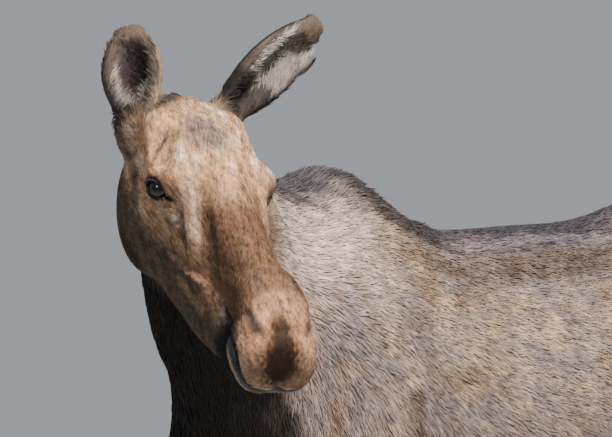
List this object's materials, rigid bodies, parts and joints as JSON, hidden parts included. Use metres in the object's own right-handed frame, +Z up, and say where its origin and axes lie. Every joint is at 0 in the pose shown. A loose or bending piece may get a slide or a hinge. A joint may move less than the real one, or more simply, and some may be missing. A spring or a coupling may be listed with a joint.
{
  "type": "moose",
  "caption": "Life-size standing cow moose, a still museum-style figure with her head turned to her left and resting on the flat soles of her hooves.",
  "frame": {"origin": "middle of the footprint box, on the floor under the hooves", "axes": "-X towards her front, -Y towards her left side, +Z up"},
  "size_m": [2.185, 0.8852, 2.1073],
  "materials": {
    "coat_head": "short brown hair",
    "coat_neck": "dark brown hair",
    "coat_trunk": "grizzled grey-brown hair",
    "coat_tail": "dark brown hair",
    "coat_ear": "brown hair",
    "coat_leg": "pale grey-brown hair",
    "eye": "glossy dark brown",
    "hoof": "dark horn"
  },
  "bodies": {
    "root": {"trunk": "coat_trunk", "neck": "coat_neck", "head": "coat_head", "tail": "coat_tail", "ear_left": "coat_ear", "ear_right": "coat_ear", "eye_left": "eye", "eye_right": "eye", "foreleg_left": "coat_leg", "foreleg_right": "coat_leg", "hindleg_left": "coat_leg", "hindleg_right": "coat_leg", "hoof_fore_left_inner": "hoof", "hoof_fore_left_outer": "hoof", "hoof_fore_right_inner": "hoof", "hoof_fore_right_outer": "hoof", "hoof_hind_left_inner": "hoof", "hoof_hind_left_outer": "hoof", "hoof_hind_right_inner": "hoof", "hoof_hind_right_outer": "hoof"}
  },
  "joints": []
}
